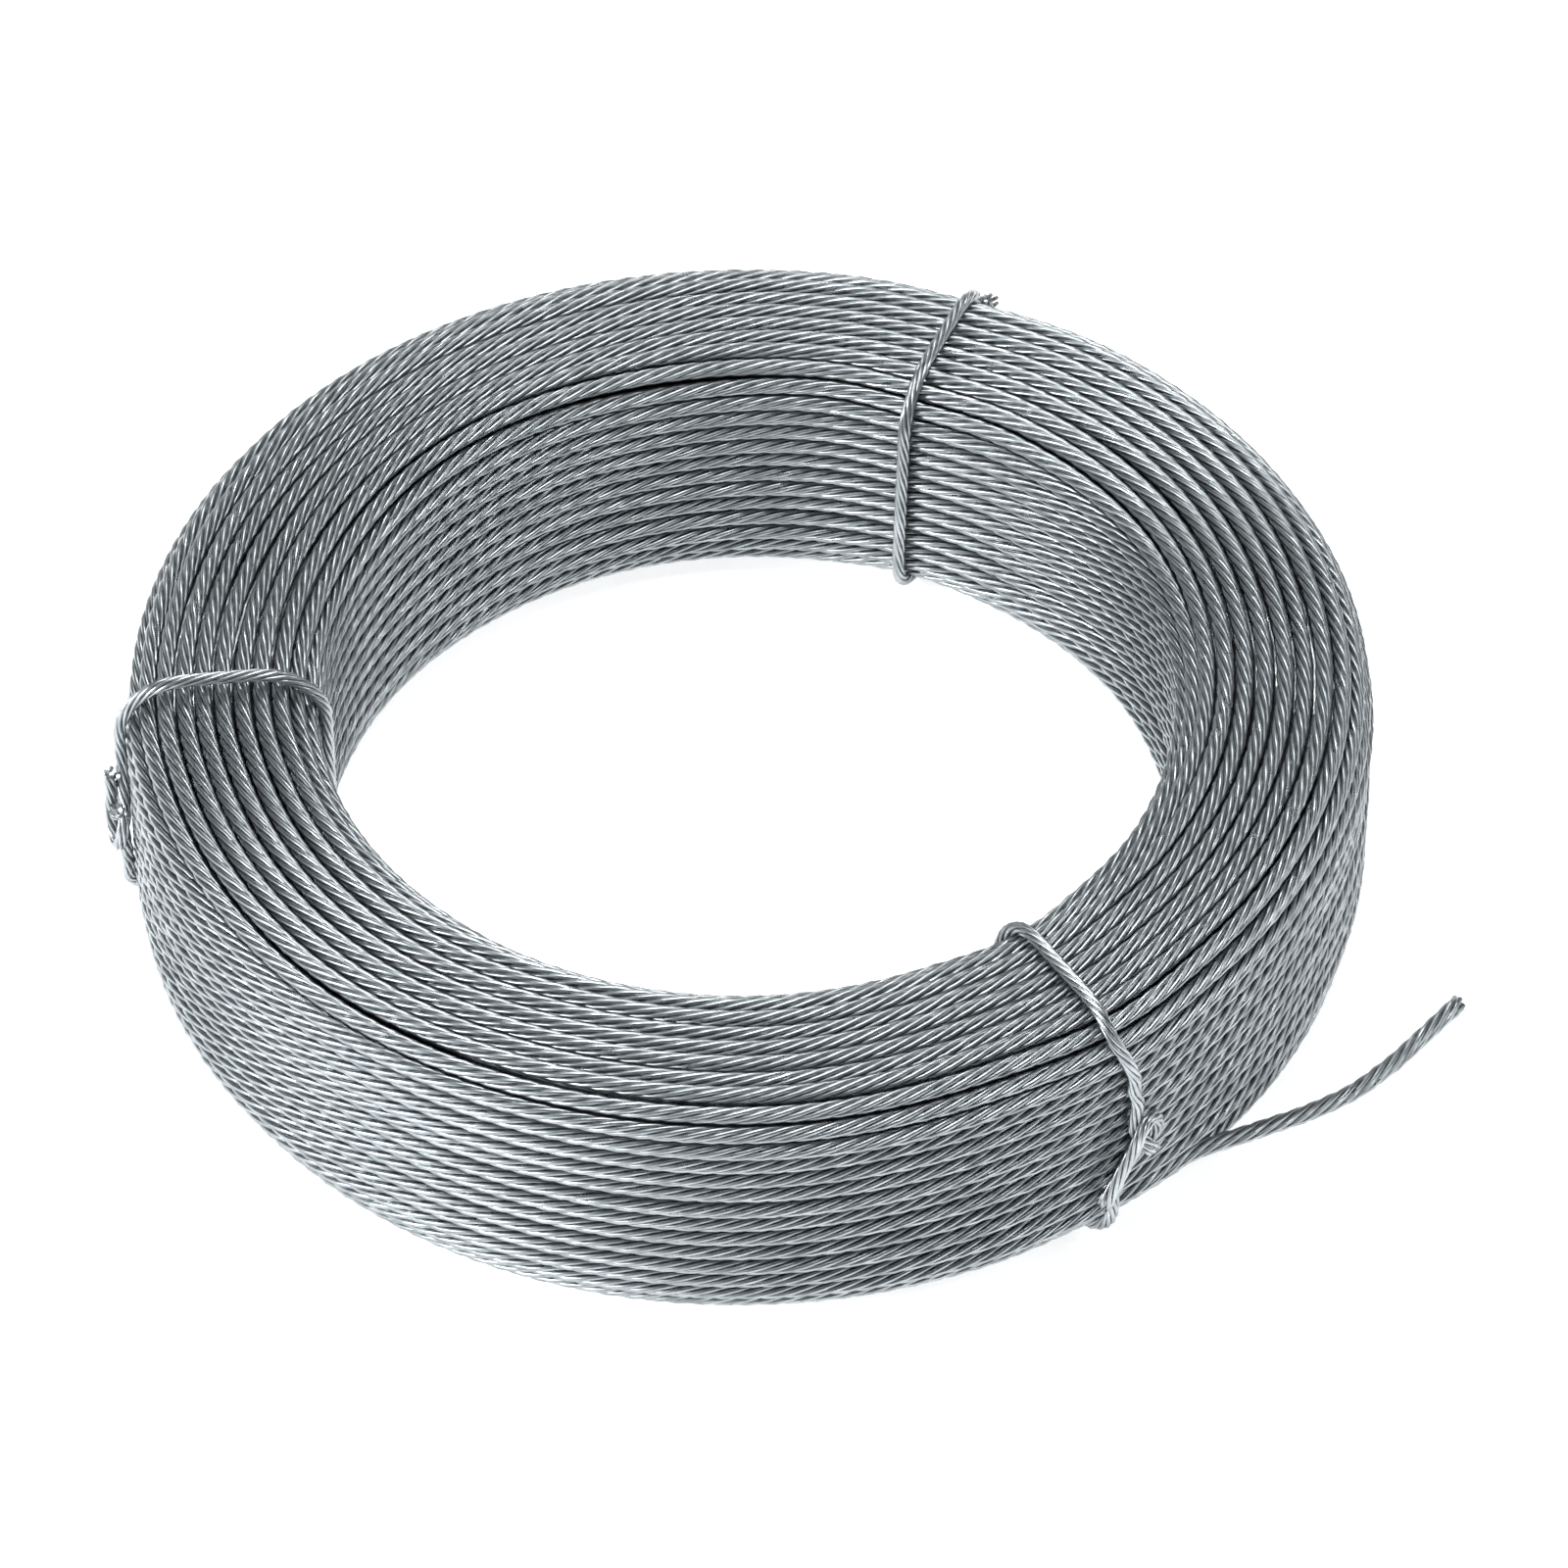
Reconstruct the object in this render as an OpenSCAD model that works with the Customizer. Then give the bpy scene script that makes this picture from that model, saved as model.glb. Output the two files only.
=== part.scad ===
// A coil of steel wire rope, bound by three twisted wire ties, with one loose cut tail.
// Millimetres, +Z up. The ring's axis is Z and the ties stand on the plane z = 0.

/* [Rope] */
// Diameter of the wire rope
rope_d = 2; // [1.6:0.1:2.4]

/* [Coil] */
// Outside diameter of the wound ring
coil_od = 138; // [110:1:170]
// Diameter of the hole through the ring
coil_id = 94; // [76:1:100]
// Height of the wound ring
coil_h = 32; // [26:1:40]
// Radius of the ring's rounded corners
coil_round = 6; // [4:0.5:8]

/* [Ties] */
// Diameter of the wire strand that a tie is made of
tie_d = 1.5; // [1.2:0.1:1.9]
// Clearance between a tie and the ring that it binds
tie_gap = 0.15; // [0.1:0.05:0.3]
// Direction of the tie at the front, from +X towards +Y
front_tie_angle = -55; // [-66:1:-55]
// Direction of the tie at the back
back_tie_angle = 67; // [50:1:90]
// Direction of the tie at the left
left_tie_angle = 186; // [170:1:200]

/* [Knots] */
// Length over which a tie's two strands make one turn round each other
twist_len = 8; // [7:0.5:9]
// Clearance between the two strands in the twist
twist_gap = 0.1; // [0.1:0.05:0.2]
// Place of the front knot on the ring's straight wall, from 0 at its foot to 1 at its top
front_knot_place = 0.1; // [0:0.05:1]
// Place of the back knot
back_knot_place = 0.85; // [0:0.05:1]
// Place of the left knot
left_knot_place = 0.45; // [0:0.05:1]

/* [Tail] */
// Direction of the place where the rope leaves the ring, from +X towards +Y
tail_angle = -48; // [-49:1:-35]
// Height of the rope's underside where it leaves the ring
tail_h = 5.5; // [5:0.5:12]
// Length of the straight cut end of the rope
end_len = 10; // [8:1:20]

/* [Hidden] */
$fn = 48;

STEEL = [0.62, 0.66, 0.69];
BRIGHT_STEEL = [0.72, 0.76, 0.79];

// Sides of a swept strand, and steps in a quarter turn of an outline's corner
SIDES = 8;
CORNER_STEPS = 6;
// Steps in a twist, and length of wall on either side of it where a strand eases out
TWIST_STEPS = 12;
EASE_LEN = 4;

// Free rope, from the ring to its cut end: along the ring's tangent, towards the ring's
// axis, and height of the rope's underside. It starts at [0, 0, tail_h].
TAIL_ROUTE = [
    [12, -1.7, 3.7], [15, -2.1, 3.0], [18, -2.4, 2.3], [21, -2.6, 1.7], [24, -2.7, 1.1],
    [27, -2.6, 0.7], [30, -2.3, 0.4], [32, -2.1, 0.2], [34, -1.8, 0.1],
];
// Turn of the cut end from the ring's tangent, towards the ring's axis
END_TURN = 8;

// Free ends of a tie beyond its twist: outwards, along the ring, and upwards
LONG_END = [[0.5, -0.6, -1.5], [0.9, -1.7, -2.9], [1.1, -3.0, -4.2], [1.1, -4.4, -5.4]];
SHORT_END = [[0.5, 0.5, 1.3], [0.9, 1.3, 2.4], [1.2, 2.3, 3.3]];

// The ring rests on the undersides of its ties
coil_z = tie_d + tie_gap;
// A tie's centre line runs this far outside the ring's section
tie_out = tie_gap + tie_d / 2;
loop_outer = coil_od / 2 + tie_out;
loop_inner = coil_id / 2 - tie_out;
loop_top = coil_z + coil_h + tie_out;
loop_bottom = coil_z - tie_out;
loop_round = coil_round + tie_out;
// Radius of the helix that each strand follows in the twist, and the twist's distance out
twist_r = (tie_d + twist_gap) / 2;
twist_out = loop_outer + twist_r;
// The lowest that a knot's middle may be, and its room to move up the straight wall
knot_low = coil_z + coil_round + twist_len / 2;
knot_room = coil_h - 2 * coil_round - twist_len;
// The outermost turn's centre line, and the first straight stretch of the free rope
turn_r = (coil_od - rope_d) / 2;
stub_end = TAIL_ROUTE[0] + [0, 0, rope_d / 2];
stub_start = [0, 0, tail_h + rope_d / 2];
end_start = TAIL_ROUTE[len(TAIL_ROUTE) - 1] + [0, 0, rope_d / 2];

function unit(v) = v / norm(v);

// Points of an arc in the XZ plane, from angle a to angle b
function arc(x, z, r, a, b) =
    [for (i = [0 : CORNER_STEPS])
        let (t = a + (b - a) * i / CORNER_STEPS) [x + r * cos(t), 0, z + r * sin(t)]];

// Direction of a path at point i, with its first and last directions given
function heading(path, i, first, last) =
    i == 0 ? unit(first) :
    i == len(path) - 1 ? unit(last) :
    unit(unit(path[i + 1] - path[i]) + unit(path[i] - path[i - 1]));

// One ring of corners round a path's point, square to its direction
function ring(p, along, side, r) =
    let (n = unit(cross(along, side)), b = cross(along, n))
    [for (k = [0 : SIDES - 1]) p + r * (cos(360 * k / SIDES) * n + sin(360 * k / SIDES) * b)];

// A strand swept along a path. The path never runs along the direction called side.
module strand(path, d, side, first, last) {
    count = len(path);
    corners = [for (i = [0 : count - 1])
        each ring(path[i], heading(path, i, first, last), side, d / 2)];
    walls = [for (i = [0 : count - 2], k = [0 : SIDES - 1])
        let (k2 = (k + 1) % SIDES)
        [i * SIDES + k, i * SIDES + k2, (i + 1) * SIDES + k2, (i + 1) * SIDES + k]];
    start_cap = [for (k = [0 : SIDES - 1]) SIDES - 1 - k];
    end_cap = [for (k = [0 : SIDES - 1]) (count - 1) * SIDES + k];
    polyhedron(points = corners, faces = concat([start_cap], walls, [end_cap]));
}

// A round bar from one point to another
module bar(from, to, d) {
    v = to - from;
    translate(from)
        rotate([0, acos(v[2] / norm(v)), atan2(v[1], v[0])])
            cylinder(d = d, h = norm(v));
}

// The section of the wound ring, as an outline to the right of the axis
module coil_section() {
    inner = coil_id / 2 + coil_round;
    outer = coil_od / 2 - coil_round;
    low = coil_z + coil_round;
    high = coil_z + coil_h - coil_round;
    outline = concat(
        arc(outer, low, coil_round, -90, 0), arc(outer, high, coil_round, 0, 90),
        arc(inner, high, coil_round, 90, 180), arc(inner, low, coil_round, 180, 270));
    polygon([for (p = outline) [p[0], p[2]]]);
}

// Moves the free rope's route to the place where the rope leaves the ring
module at_tail() {
    rotate([0, 0, tail_angle])
        translate([turn_r, 0, 0])
            rotate([0, 0, 90])
                children();
}

// The wound ring, and the first straight stretch of the rope that leaves it
module coil() {
    color(STEEL) {
        rotate_extrude($fn = 180) coil_section();
        at_tail() bar(stub_start, stub_end, rope_d);
    }
}

// The bent stretch of the free rope
module tail() {
    path = [for (p = TAIL_ROUTE) p + [0, 0, rope_d / 2]];
    color(STEEL)
        at_tail()
            strand(path, rope_d, [0, 0, 1], stub_end - stub_start,
                [cos(END_TURN), sin(END_TURN), 0]);
}

// The straight cut end of the rope, where a clip, thimble or ferrule goes on
module rope_end() {
    tip = end_start + end_len * [cos(END_TURN), sin(END_TURN), 0];
    color(STEEL)
        at_tail() bar(end_start, tip, rope_d);
}

function knot_height(place) = knot_low + place * knot_room;

// One strand's helix in the twist, from its lower end up. The start angle is 180 for the
// strand with the long end and 0 for the other, and turn is 1 or -1.
function twist(knot_h, start, turn) =
    [for (i = [0 : TWIST_STEPS])
        let (t = i / TWIST_STEPS, a = start + 360 * t)
        [twist_out + twist_r * sin(a), turn * twist_r * cos(a), knot_h + twist_len * (t - 0.5)]];

// A free end, from the end of the twist to its cut, mirrored by turn
function free_end(from, steps, turn) =
    [for (s = steps) from + [s[0], turn * s[1], s[2]]];

function reversed(path) = [for (i = [len(path) - 1 : -1 : 0]) path[i]];

// The loop round the ring's section, from above the knot, over the top and back from below
function tie_loop(knot_h) =
    let (
        above = knot_h + twist_len / 2 + EASE_LEN,
        below = knot_h - twist_len / 2 - EASE_LEN,
        out = loop_outer - loop_round,
        in = loop_inner + loop_round,
        high = loop_top - loop_round,
        low = loop_bottom + loop_round)
    concat(
        above < high ? [[loop_outer, 0, above]] : [],
        arc(out, high, loop_round, 0, 90), arc(in, high, loop_round, 90, 180),
        [[loop_inner, 0, (high + low) / 2]],
        arc(in, low, loop_round, 180, 270), arc(out, low, loop_round, 270, 360),
        below > low ? [[loop_outer, 0, below]] : []);

// A wire tie: long free end, twist, loop round the ring, twist, short free end
module tie(angle, knot_h, turn) {
    down = twist(knot_h, 180, turn);
    up = twist(knot_h, 0, turn);
    long_end = reversed(free_end(down[0], LONG_END, turn));
    short_end = free_end(up[TWIST_STEPS], SHORT_END, turn);
    path = concat(long_end, down, tie_loop(knot_h), up, short_end);
    last = len(path) - 1;
    color(BRIGHT_STEEL)
        rotate([0, 0, angle])
            strand(path, tie_d, [0, 1, 0], path[1] - path[0], path[last] - path[last - 1]);
}

module tie_front() {
    tie(front_tie_angle, knot_height(front_knot_place), 1);
}

module tie_back() {
    tie(back_tie_angle, knot_height(back_knot_place), -1);
}

module tie_left() {
    tie(left_tie_angle, knot_height(left_knot_place), 1);
}

coil();
tail();
rope_end();
tie_front();
tie_back();
tie_left();
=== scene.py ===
"""A coil of galvanised wire rope, bound by three wire ties, with one loose cut tail.

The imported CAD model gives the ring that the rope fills. The rope is one length, wound turn by
turn from its hidden inner end to its cut tail. Everything is in metres, +Z up.
"""

import enum
import logging
import math
from dataclasses import dataclass, field

import bpy
import numpy as np
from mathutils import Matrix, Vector


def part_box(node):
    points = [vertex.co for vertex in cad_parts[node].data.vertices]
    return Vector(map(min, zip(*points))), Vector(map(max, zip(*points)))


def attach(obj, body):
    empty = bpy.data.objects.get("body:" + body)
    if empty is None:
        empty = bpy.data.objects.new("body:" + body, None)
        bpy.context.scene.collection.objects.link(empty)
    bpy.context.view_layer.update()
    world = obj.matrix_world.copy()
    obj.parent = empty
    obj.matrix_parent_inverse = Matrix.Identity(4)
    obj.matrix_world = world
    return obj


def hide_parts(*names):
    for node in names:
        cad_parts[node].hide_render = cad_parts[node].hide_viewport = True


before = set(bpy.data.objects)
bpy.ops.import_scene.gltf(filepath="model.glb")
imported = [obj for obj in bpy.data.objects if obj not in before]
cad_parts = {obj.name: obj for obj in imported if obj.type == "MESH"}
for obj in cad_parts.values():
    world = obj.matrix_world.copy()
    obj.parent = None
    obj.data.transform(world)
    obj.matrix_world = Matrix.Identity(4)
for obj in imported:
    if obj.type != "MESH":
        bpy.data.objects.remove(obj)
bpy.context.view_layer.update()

log = logging.getLogger("wire_rope_coil")

MM = 0.001
TURN = 2 * math.pi
BODY = "root"
UV_MAP = "OFBake"
PLACE_ATTRIBUTE = "wire_place"
UP = np.array([0.0, 0.0, 1.0])
TINY = 1e-12
WHITE = (1.0, 1.0, 1.0, 1.0)


class Slot(enum.Enum):
    """The record's material slots."""

    ROPE = "wire_rope"
    TIE = "tie_wire"


def millimetres(*sizes: float) -> tuple[float, ...]:
    """Returns sizes given in millimetres, in metres."""
    return tuple(size * MM for size in sizes)


def smooth_step(share: np.ndarray) -> np.ndarray:
    """Returns share, held from 0 to 1, eased at both ends."""
    held = np.clip(share, 0.0, 1.0)
    return held * held * (3 - 2 * held)


def unit(vectors: np.ndarray) -> np.ndarray:
    """Returns the rows of an array, each scaled to length 1."""
    return vectors / np.maximum(np.linalg.norm(vectors, axis=-1, keepdims=True), TINY)


def lengths_along(points: np.ndarray) -> np.ndarray:
    """Returns the distance of each point of a line from its first point, along the line."""
    steps = np.linalg.norm(np.diff(points, axis=0), axis=1)
    return np.concatenate([[0.0], np.cumsum(steps)])


def angle_between(a: np.ndarray, b: float) -> np.ndarray:
    """Returns how far each angle a is from angle b round the circle, from -pi to pi."""
    return (a - b + math.pi) % TURN - math.pi


def smooth_line(
    points: np.ndarray, first: np.ndarray, last: np.ndarray, step: float
) -> np.ndarray:
    """Draws one smooth curve through points, which are used as they are.

    Args:
        points: The points that the curve passes through.
        first: Direction of the curve at its first point.
        last: Direction of the curve at its last point.
        step: The longest distance between points of the result.

    Returns:
        The points of the curve.
    """
    at = lengths_along(points)
    slopes = np.empty_like(points)
    slopes[1:-1] = (points[2:] - points[:-2]) / (at[2:] - at[:-2])[:, None]
    slopes[0], slopes[-1] = unit(first), unit(last)
    places = np.linspace(0.0, at[-1], math.ceil(at[-1] / step) + 1)
    i = np.clip(np.searchsorted(at, places, side="right") - 1, 0, len(at) - 2)
    span = (at[i + 1] - at[i])[:, None]
    t = (places - at[i])[:, None] / span
    return (
        (2 * t**3 - 3 * t**2 + 1) * points[i]
        + (t**3 - 2 * t**2 + t) * span * slopes[i]
        + (3 * t**2 - 2 * t**3) * points[i + 1]
        + (t**3 - t**2) * span * slopes[i + 1]
    )


def add_object(name: str, data: bpy.types.ID) -> bpy.types.Object:
    """Returns a new object that shows data, put into the scene."""
    made = bpy.data.objects.new(name, data)
    bpy.context.scene.collection.objects.link(made)
    return made


def add_node(
    tree: bpy.types.NodeTree,
    kind: str,
    inputs: dict[str | int, bpy.types.NodeSocket | float | tuple[float, ...]],
    **settings: str | bool,
) -> bpy.types.Node:
    """Adds a node to a material or to the world.

    Args:
        tree: The nodes that it joins.
        kind: What it does.
        inputs: What goes into its sockets: values, or the outputs of other nodes.
        settings: Its other settings.

    Returns:
        The node.
    """
    node = tree.nodes.new(f"ShaderNode{kind}")
    for name, setting in settings.items():
        setattr(node, name, setting)
    for socket, value in inputs.items():
        if isinstance(value, bpy.types.NodeSocket):
            tree.links.new(value, node.inputs[socket])
        else:
            node.inputs[socket].default_value = value
    return node


@dataclass(frozen=True)
class Noise:
    """A smooth, repeatable unevenness over a winding: a sum of waves in slot and angle.

    Attributes:
        seed: Seed of the waves' phases and directions.
        waves: Number of waves.
        slot_waves: The most waves over all the slots of a layer. The least is a quarter of it.
        angle_waves: The most waves in one turn of the ring.
    """

    seed: int
    waves: int
    slot_waves: int
    angle_waves: int

    def at(self, slots: np.ndarray, angles: np.ndarray) -> np.ndarray:
        """Reads the unevenness.

        Args:
            slots: Places across the layer, from 0 to 1, where 0 and 1 are the same place.
            angles: Angles round the ring, in radians.

        Returns:
            The unevenness, about from -2 to 2, with a spread of 1.
        """
        draw = np.random.default_rng(self.seed)
        total = np.zeros(np.broadcast(slots, angles).shape)
        for _ in range(self.waves):
            across = draw.integers(self.slot_waves // 4, self.slot_waves + 1)
            around = draw.integers(-self.angle_waves, self.angle_waves + 1)
            total += np.cos(TURN * across * slots + around * angles + draw.uniform(0, TURN))
        return total * math.sqrt(2 / self.waves)


@dataclass(frozen=True)
class Layer:
    """One closed outline in the ring's section, for rope centres at one depth.

    Attributes:
        share: Place along the outline, from 0 to 1, of each of its points.
        points: The outline's points: outwards and up from the middle of the section.
        normals: Outward normal at each point.
        length: Length of the outline.
    """

    share: np.ndarray
    points: np.ndarray
    normals: np.ndarray
    length: float

    def at(self, share: np.ndarray, depth: np.ndarray) -> np.ndarray:
        """Returns the places at these shares of the outline, sunk inwards by depth."""
        wrapped = np.mod(share, 1.0)
        place = [np.interp(wrapped, self.share, self.points[:, k]) for k in range(2)]
        normal = [np.interp(wrapped, self.share, self.normals[:, k]) for k in range(2)]
        return np.stack(place, axis=-1) - np.stack(normal, axis=-1) * depth[..., None]


@dataclass(frozen=True)
class Wave:
    """One slow unevenness round the ring.

    Attributes:
        size: Height of the wave.
        count: Waves in one turn of the ring.
        start: Where the wave starts, in radians.
    """

    size: float
    count: int
    start: float

    def at(self, angles: np.ndarray, loose: np.ndarray) -> np.ndarray:
        """Returns the unevenness at these angles, weaker where the ring is less loose."""
        return loose * self.size * np.sin(self.count * angles + self.start)


@dataclass(frozen=True)
class RingSection:
    """The rounded section of the wound ring, and how it varies round the ring.

    Attributes:
        inner: Radius of the hole.
        outer: Outside radius.
        low: Height of the underside.
        high: Height of the top.
        tie_angles: Angles of the ties, which pull the section in.
        corner: Radius of the section's corners.
        start_angle: Direction, from a corner's middle, of the place where outlines start.
        pinch: Share by which a tie narrows the section.
        pinch_width: Angle from a tie to where its pinch ends.
        sag: How far the lowest turns hang between the ties.
        least_corner: Smallest corner radius of an inner outline.
        corner_steps: Points of an outline's corner.
        width_wave: How the section's width varies, as a share.
        height_wave: How its height varies, as a share.
        radius_wave: How far it strays from a true ring.
    """

    inner: float
    outer: float
    low: float
    high: float
    tie_angles: tuple[float, ...]
    corner: float = 6 * MM
    start_angle: float = math.radians(-13.5)
    pinch: float = 0.025
    pinch_width: float = math.radians(14)
    sag: float = 1.0 * MM
    least_corner: float = 1.0 * MM
    corner_steps: int = 16
    width_wave: Wave = Wave(size=0.014, count=3, start=0.8)
    height_wave: Wave = Wave(size=0.012, count=2, start=2.1)
    radius_wave: Wave = Wave(size=0.35 * MM, count=2, start=-0.6)

    @property
    def middle(self) -> float:
        """Radius of the middle of the section."""
        return (self.inner + self.outer) / 2

    @property
    def half_width(self) -> float:
        """Half the width of the section."""
        return (self.outer - self.inner) / 2

    @property
    def height(self) -> float:
        """Height of the section."""
        return self.high - self.low

    def layer(self, inset: float) -> Layer:
        """Makes the outline that lies inset inside the section's own.

        Args:
            inset: Distance inside the section's outline.

        Returns:
            The outline: up the outer wall, inwards over the top, down and back outwards.
        """
        corner = max(self.corner - inset, self.least_corner)
        across = self.half_width - inset - corner
        up = self.height / 2 - inset - corner
        quarter = math.pi / 2
        arcs = [
            (self.start_angle, 0.0, 1, -1),
            (0.0, quarter, 1, 1),
            (quarter, 2 * quarter, -1, 1),
            (2 * quarter, 3 * quarter, -1, -1),
            (3 * quarter, TURN + self.start_angle, 1, -1),
        ]
        points, normals = [], []
        for begin, end, side, level in arcs:
            turn = np.linspace(begin, end, self.corner_steps)
            normal = np.stack([np.cos(turn), np.sin(turn)], axis=1)
            normals.append(normal)
            points.append(np.array([side * across, level * up]) + corner * normal)
        outline = np.concatenate(points)
        at = lengths_along(outline)
        return Layer(at / at[-1], outline, np.concatenate(normals), float(at[-1]))

    def grip(self, angles: np.ndarray) -> np.ndarray:
        """Returns how much the ties hold the ring at each angle, from 0 to 1."""
        held = np.zeros_like(angles)
        for tie in self.tie_angles:
            near = np.clip(np.abs(angle_between(angles, tie)) / self.pinch_width, 0, 1)
            held = np.maximum(held, np.cos(near * math.pi / 2) ** 2)
        return held

    def place(self, section_points: np.ndarray, angles: np.ndarray) -> np.ndarray:
        """Puts points of the section into the ring.

        Args:
            section_points: Points outwards and up from the middle of the section.
            angles: Angle round the ring of each point.

        Returns:
            The points in the ring, with its pinches, its sag and its slow unevenness.
        """
        grip = self.grip(angles)
        loose = 1 - grip
        scale = 1 - self.pinch * grip
        wide = 1 + self.width_wave.at(angles, loose)
        tall = 1 + self.height_wave.at(angles, loose)
        out = self.middle + section_points[..., 0] * scale * wide
        out = out + self.radius_wave.at(angles, loose)
        rise = section_points[..., 1] + self.height / 2
        level = np.clip(rise / self.height, 0, 1)
        sag = self.sag * loose * (1 - level) ** 2
        up = self.low + rise * scale * tall - sag
        return np.stack([out * np.cos(angles), out * np.sin(angles), up], axis=-1)


@dataclass(frozen=True)
class Strand:
    """One length of strand, as the line that its middle follows.

    Attributes:
        points: Closely spaced points of the middle line.
        at: Distance of each point from the strand's start.
    """

    points: np.ndarray
    at: np.ndarray

    @classmethod
    def through(cls, points: np.ndarray) -> "Strand":
        """Returns the strand whose middle line is points."""
        return cls(points, lengths_along(points))

    @property
    def length(self) -> float:
        """Length of the strand."""
        return float(self.at[-1])

    def middle(self, places: np.ndarray) -> np.ndarray:
        """Returns the points of the middle line at these distances from its start."""
        return np.stack([np.interp(places, self.at, self.points[:, k]) for k in range(3)], axis=1)

    def frames(self, places: np.ndarray) -> tuple[np.ndarray, np.ndarray]:
        """Carries a sideways direction along the strand without turning it about the strand.

        Args:
            places: Distances from the strand's start, in order.

        Returns:
            The strand's heading and a direction square to it, at each place.
        """
        reach, steep = 0.2 * MM, 0.9
        ahead = self.middle(np.minimum(places + reach, self.length))
        behind = self.middle(np.maximum(places - reach, 0.0))
        heading = unit(ahead - behind)
        carried = np.cross(heading[0], UP if abs(heading[0][2]) < steep else [1.0, 0.0, 0.0])
        x, y, z = (float(v) for v in unit(carried))
        sides = []
        for hx, hy, hz in heading.tolist():
            off = x * hx + y * hy + z * hz
            x, y, z = x - off * hx, y - off * hy, z - off * hz
            size = math.sqrt(x * x + y * y + z * z)
            x, y, z = x / size, y / size, z / size
            sides.append((x, y, z))
        return heading, np.array(sides)


@dataclass(frozen=True)
class Tube:
    """A round wire along a line, as a closed mesh of rings.

    Attributes:
        name: Name of the piece.
        centres: The rings' centres.
        radii: The rings' radii.
        side: A direction for each ring's first corner, or one for all rings.
        along: Distance of each ring from the strand's start.
        sides: Number of corners of a ring.
        shift: Moves the wire's surface pattern, so that no two wires are alike.
        row_rings: Rings in a row of the UV map, divided by its number of rows.
        row_fill: Share of a row that the wall takes.
        cap_radius: Radius of an end face in the UV map, as a share of its place there.
    """

    name: str
    centres: np.ndarray
    radii: np.ndarray
    side: np.ndarray
    along: np.ndarray
    sides: int = 6
    shift: float = 0.0
    row_rings: int = 36
    row_fill: float = 0.88
    cap_radius: float = 0.4

    def build(self, finish: bpy.types.Material, slot: Slot) -> bpy.types.Object:
        """Builds the wire, and gives it its finish and its body.

        Args:
            finish: The wire's material.
            slot: Not used; the record's slot that it would take its finish from.

        Returns:
            The new object, at the origin.
        """
        rings, sides = len(self.centres), self.sides
        heading = unit(np.gradient(self.centres, axis=0))
        side = np.broadcast_to(self.side, heading.shape)
        first = unit(side - (side * heading).sum(1, keepdims=True) * heading)
        second = np.cross(heading, first)
        turn = TURN * np.arange(sides) / sides
        spoke = (
            first[:, None, :] * np.cos(turn)[None, :, None]
            + second[:, None, :] * np.sin(turn)[None, :, None]
        )
        corners = self.centres[:, None, :] + self.radii[:, None, None] * spoke
        mesh = bpy.data.meshes.new(self.name)
        mesh.vertices.add(rings * sides)
        mesh.vertices.foreach_set("co", corners.astype(np.float32).ravel())
        self._add_faces(mesh, rings)
        self._add_uv_map(mesh, rings, turn)
        self._add_places(mesh, turn)
        mesh.validate()
        mesh.update()
        mesh.materials.append(finish)
        piece = add_object(self.name, mesh)
        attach(piece, BODY)
        return piece

    def _add_faces(self, mesh: bpy.types.Mesh, rings: int) -> None:
        """Adds the wall's faces and the two end faces.

        Args:
            mesh: The mesh that has the rings' corners.
            rings: Number of rings.
        """
        sides = self.sides
        ring = np.arange(rings - 1)[:, None] * sides
        k = np.arange(sides)[None, :]
        k_next = (k + 1) % sides
        wall = np.stack([ring + k, ring + k_next, ring + sides + k_next, ring + sides + k], axis=2)
        start_face = np.arange(sides)[::-1]
        end_face = (rings - 1) * sides + np.arange(sides)
        corners = np.concatenate([wall.reshape(-1), start_face, end_face]).astype(np.int32)
        walls = (rings - 1) * sides
        sizes = np.full(walls + 2, 4, np.int32)
        sizes[-2:] = sides
        starts = np.concatenate([[0], np.cumsum(sizes)[:-1]]).astype(np.int32)
        mesh.loops.add(len(corners))
        mesh.loops.foreach_set("vertex_index", corners)
        mesh.polygons.add(len(sizes))
        mesh.polygons.foreach_set("loop_start", starts)
        smooth = np.ones(len(sizes), bool)
        smooth[-2:] = False
        mesh.polygons.foreach_set("use_smooth", smooth)

    def _add_uv_map(self, mesh: bpy.types.Mesh, rings: int, turn: np.ndarray) -> None:
        """Lays the wall out in rows of the UV map, with the end faces in the top row.

        Args:
            mesh: The mesh that has its faces.
            rings: Number of rings.
            turn: Angle of each of a ring's corners.
        """
        sides = self.sides
        rows = max(2, math.ceil(math.sqrt((rings - 1) / self.row_rings)))
        in_row = math.ceil((rings - 1) / rows)
        i = np.arange(rings - 1)[:, None]
        k = np.arange(sides)[None, :]
        row = (i // in_row) + 0 * k
        u = (i % in_row) / in_row + 0 * k
        v = (row + (1 - self.row_fill) / 2 + self.row_fill * k / sides) / (rows + 1)
        du, dv = 1 / in_row, self.row_fill / sides / (rows + 1)
        wall = np.stack([u, v, u, v + dv, u + du, v + dv, u + du, v], axis=2).reshape(-1)
        cap = 0.5 + self.cap_radius * np.stack([np.cos(turn), np.sin(turn)], axis=1)
        start_cap = (cap[::-1] * [0.5, 1] + [0, rows]) / [1, rows + 1]
        end_cap = (cap * [0.5, 1] + [0.5, rows]) / [1, rows + 1]
        places = np.concatenate([wall, start_cap.ravel(), end_cap.ravel()])
        layer = mesh.uv_layers.new(name=UV_MAP)
        layer.uv.foreach_set("vector", places.astype(np.float32))

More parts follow.
